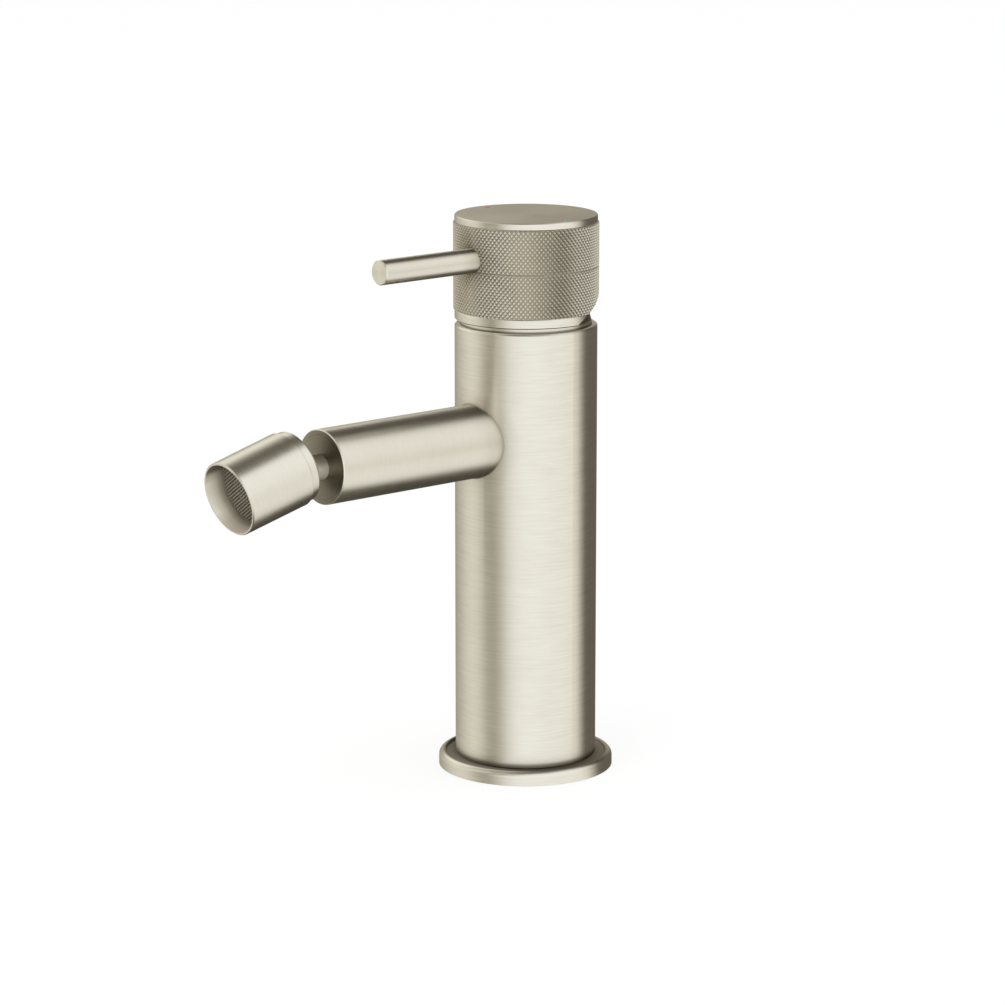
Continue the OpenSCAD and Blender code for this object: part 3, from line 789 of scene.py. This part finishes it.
def on_spout_end(face):
    """True on the flat ring at the spout's end."""
    return face.normal.y < -SQUARELY


def dress(material, *node_names):
    """Gives CAD nodes a material."""
    for node_name in node_names:
        frame["nodes"][node_name].material_slots[0].material = material


def dress_faces(material, node_name, picked):
    """Gives the faces of a CAD node that a test picks a material of their own."""
    mesh = frame["nodes"][node_name].data
    mesh.materials.append(material)
    for face in mesh.polygons:
        if picked(face):
            face.material_index = len(mesh.materials) - 1


make_camera()
make_studio()

# Painted shade in hollows and along contact lines, and painted shade on the sides of some pieces

STEM_R = 3.7 * MM
SPOUT_ROOT_DEPTH = 0.9
GROOVE_FLOOR = -KNURL_DEPTH / MM - 0.02

by_height = along(ORIGIN, Z_AXIS)
by_radius = out_from(ORIGIN, Z_AXIS)
by_lever = away_from(lever_root)
by_spout = away_from(Vector((0, -SPOUT_ROOT_DEPTH * body_r, spout_centre.z)))
# Painted shade: the body darker at its foot, where it stands in the flange
foot_shade = shade(by_height, foot_z, MM, (0, 0.2), (0.9, 0.4), (2, 1.0))
# Painted shade: the flange's recess darker round the body's foot
recess_shade = shade(by_radius, body_r, MM, (0, 0.14), (1.2, 0.27), (2.4, 0.32), (3, 0.26), (3.9, 1.0))
# Painted shade: the knurl darker towards the floor of its grooves
groove_shade = shade(by_radius, tip_r, MM, (GROOVE_FLOOR, 0.55), (-0.15, 0.92), (0, 1.0))
# Painted shade: the groove between the sleeves dark, darkest near the lever
line_shade = shade(by_lever, lever_r, MM, (0, 0.3), (6, 0.5), (12, 0.5))
# Painted shade on the dome under the handle's foot, lighter in a thin band that shows through the gap
dome_shade = shade(
    by_height, body_top, MM, (0, 0.2), (0.5, 0.35), (0.7, 0.9), (1.2, 0.9), (1.5, 0.35), (6, 0.4)
)
# Painted shade: the spout and its fillet darker where they meet the body
root_shade = shade(by_radius, body_r, MM, (0, 0.45), (0.6, 0.75), (2, 0.88), (8, 1.0))
# Painted shade in the nozzle's mouth: dark at its top, where the wall faces down, a little darker at its
# bottom
mouth_shade = shade(
    along(screen_centre, nozzle_up),
    0,
    screen_r,
    (-1.05, 0.55),
    (-0.85, 0.7),
    (-0.6, 1.0),
    (0.25, 0.96),
    (0.5, 0.6),
    (0.65, 0.16),
    (1.05, 0.07),
)
# Painted shade: the mouth's wall darker towards the screen
depth_shade = shade(along(screen_centre, nozzle_axis), 0, MM, (0, 0.28), (1.5, 0.52), (3, 0.84), (5, 1.0))
# Painted shade: the body darker round the spout's root
spout_contact_shade = shade(by_spout, spout_r, MM, (0, 0.8), (1.5, 0.92), (5, 1.0))
# Painted shade: the knurl darker round the lever's root
lever_contact_shade = shade(by_lever, lever_r, MM, (0, 0.55), (2, 0.8), (6, 1.0))
# Painted shade: the lever darker at its root by the grip
lever_shade = shade(by_radius, knurl_r, MM, (-1, 0.5), (1, 0.8), (6, 1.0))
# Painted shade and painted reflection: the spout's end face dark, darker towards +x, for the dark back of
# the nozzle it faces
end_shade = shade(along(spout_centre, X_AXIS), 0, spout_r, (-1, 0.46), (-0.3, 0.32), (0.5, 0.2), (1, 0.25))
# Painted shade: the ball's stem darker at its top and a little at its bottom
stem_shade = shade(
    along(spout_centre, Z_AXIS), 0, STEM_R, (-1, 0.5), (-0.5, 1.0), (0.1, 1.0), (0.6, 0.4), (1, 0.25)
)

# Finishes of the nickel

FINE_LINES = {"contrast": 1.6, "relief": 0.25}

nickel_body = brushed_nickel("nickel_body", ORIGIN, Z_AXIS, shades=[foot_shade, spout_contact_shade])
nickel_flange = brushed_nickel("nickel_flange", ORIGIN, Z_AXIS, shades=[recess_shade])
nickel_handle = brushed_nickel("nickel_handle", ORIGIN, Z_AXIS)
nickel_top = brushed_nickel("nickel_top", ORIGIN, Z_AXIS, anisotropic=0.15, contrast=2.0, relief=0.15)
# Painted shade: dark nickel for the handle's underside and its round hollow
nickel_painted_shade_inside = brushed_nickel(
    "nickel_painted_shade_inside", ORIGIN, Z_AXIS, anisotropic=0.0, tones=((0.13, 0.12, 0.1), (0.17, 0.16, 0.13))
)
nickel_dome = brushed_nickel("nickel_dome", ORIGIN, Z_AXIS, shades=[dome_shade])
nickel_spout = brushed_nickel(
    "nickel_spout", spout_centre, Y_AXIS, anisotropic=0.5, shades=[root_shade], **FINE_LINES
)
nickel_end = brushed_nickel(
    "nickel_end",
    spout_centre,
    Y_AXIS,
    roughness=(0.30, 0.36),
    anisotropic=0.0,
    contrast=1.6,
    shades=[end_shade],
)
# Darker, warmer tones than the other nickel and a painted shade at its top: painted shade of the gap
# between spout and nozzle
nickel_stem = brushed_nickel(
    "nickel_stem",
    spout_centre,
    Y_AXIS,
    anisotropic=0.3,
    metallic=0.5,
    tones=((0.78, 0.73, 0.6), (0.86, 0.81, 0.68)),
    shades=[stem_shade],
    **FINE_LINES,
)
nickel_lever = brushed_nickel(
    "nickel_lever", lever_centre, Y_AXIS, anisotropic=0.6, shades=[lever_shade], **FINE_LINES
)
nickel_nozzle = brushed_nickel("nickel_nozzle", ball_centre, nozzle_axis, anisotropic=0.5, **FINE_LINES)
# Light warm tones with little metal stand in for the light the wall would mirror: painted light, with
# painted shade at the top and towards the screen
nickel_mouth = brushed_nickel(
    "nickel_mouth",
    screen_centre,
    nozzle_axis,
    roughness=(0.45, 0.52),
    anisotropic=0.0,
    metallic=0.1,
    contrast=1.6,
    tones=((0.93, 0.885, 0.77), (0.98, 0.935, 0.82)),
    shades=[mouth_shade, depth_shade],
)
# Darker tones than the other nickel: painted shade among the knurl's pyramids, with more painted shade
# towards the grooves and round the lever
nickel_knurl = brushed_nickel(
    "nickel_knurl",
    ORIGIN,
    Z_AXIS,
    roughness=(0.28, 0.36),
    anisotropic=0.0,
    metallic=0.92,
    tones=((0.68, 0.645, 0.545), (0.77, 0.735, 0.63)),
    shades=[groove_shade, lever_contact_shade],
)
# Painted shade in the groove between the knurled sleeves, darkest near the lever
nickel_line = brushed_nickel(
    "nickel_line",
    ORIGIN,
    Z_AXIS,
    roughness=(0.5, 0.6),
    anisotropic=0.0,
    metallic=0.35,
    shades=[line_shade],
)

# Looks of the plain materials: dark and light tone, grain's size, roughness, grain's depth, share of metal
PLAIN_LOOKS = {
    "brass": ((0.58, 0.40, 0.14), (0.72, 0.53, 0.22), 0.4 * MM, (0.28, 0.42), 0.01 * MM, 1.0),
    "steel": ((0.42, 0.42, 0.41), (0.54, 0.54, 0.52), 0.3 * MM, (0.25, 0.38), 0.01 * MM, 1.0),
    "screen_wire": ((0.39, 0.35, 0.287), (0.5, 0.452, 0.372), 0.3 * MM, (0.4, 0.5), 0.005 * MM, 0.6),
    "rubber": ((0.012, 0.012, 0.012), (0.035, 0.035, 0.036), 0.25 * MM, (0.55, 0.75), 0.02 * MM),
    "ceramic": ((0.80, 0.79, 0.75), (0.90, 0.89, 0.86), 0.2 * MM, (0.12, 0.22), 0.002 * MM),
    "acetal": ((0.70, 0.71, 0.72), (0.80, 0.81, 0.82), 0.5 * MM, (0.35, 0.5), 0.01 * MM),
    "dark_acetal": ((0.17, 0.152, 0.12), (0.23, 0.207, 0.165), 0.5 * MM, (0.4, 0.55), 0.01 * MM),
    "ptfe": ((0.84, 0.84, 0.82), (0.91, 0.91, 0.89), 0.4 * MM, (0.45, 0.6), 0.01 * MM),
    "hot_enamel": ((0.52, 0.03, 0.03), (0.66, 0.06, 0.05), 0.3 * MM, (0.2, 0.32), 0.004 * MM),
    "cold_enamel": ((0.08, 0.38, 0.44), (0.12, 0.48, 0.54), 0.3 * MM, (0.2, 0.32), 0.004 * MM),
}
plain = {name: grained(name, *look) for name, look in PLAIN_LOOKS.items()}

# Dressing the CAD nodes

BRASS_NODES = (
    "base_insert",
    "hot_riser",
    "cold_riser",
    "valve_block",
    "spout_gland",
    "cartridge_nut",
    "ball_retainer",
)
RUBBER_NODES = (
    "base_gasket",
    "riser_o_rings",
    "gland_o_ring",
    "stem_o_ring",
    "port_seals",
    "aerator_gasket",
)
# Only these nodes show in the other pieces' reflections
REFLECTED_NODES = (
    "base_flange",
    "spout_tube",
    "ball_stem",
    "nozzle_housing",
    "nozzle_collar",
    "lever_rod",
)

dress(nickel_body, "body_shell")
dress(nickel_flange, "base_flange")
dress(nickel_dome, "dome_cover")
dress(nickel_handle, "handle_core", "handle_cap")
dress(nickel_spout, "spout_tube")
dress(nickel_end, "spout_end_bush")
dress(nickel_stem, "ball_stem")
dress(nickel_lever, "lever_rod")
dress(nickel_nozzle, "nozzle_housing", "nozzle_collar")
dress_faces(nickel_mouth, "nozzle_housing", in_mouth)
dress_faces(nickel_end, "spout_tube", on_spout_end)
dress_faces(nickel_top, "handle_cap", on_top)
# Painted shade under the handle and in its hollow
dress_faces(nickel_painted_shade_inside, "handle_core", in_handle)
dress(plain["brass"], *BRASS_NODES)
dress(plain["steel"], "pivot_pin", "spindle", "grub_screw")
dress(plain["rubber"], *RUBBER_NODES)
dress(plain["ceramic"], "fixed_disc", "moving_disc")
dress(plain["acetal"], "cartridge_base", "cartridge_housing", "turret", "disc_carrier")
dress(plain["dark_acetal"], "aerator_cage")
dress(plain["ptfe"], "ball_liner")
dress(plain["hot_enamel"], "hot_mark")
dress(plain["cold_enamel"], "cold_mark")
for node_name, piece in frame["nodes"].items():
    piece.visible_glossy = node_name in REFLECTED_NODES

# Pieces of the scene's own

knurled_grip("lower_knurled_sleeve", "lower_knurl", nickel_knurl, nickel_line)
knurled_grip("upper_knurled_sleeve", "upper_knurl", nickel_knurl, nickel_line)
woven_screen(plain["screen_wire"])
spout_fillet(nickel_spout)

bpy.context.scene.view_settings.view_transform = "Standard"
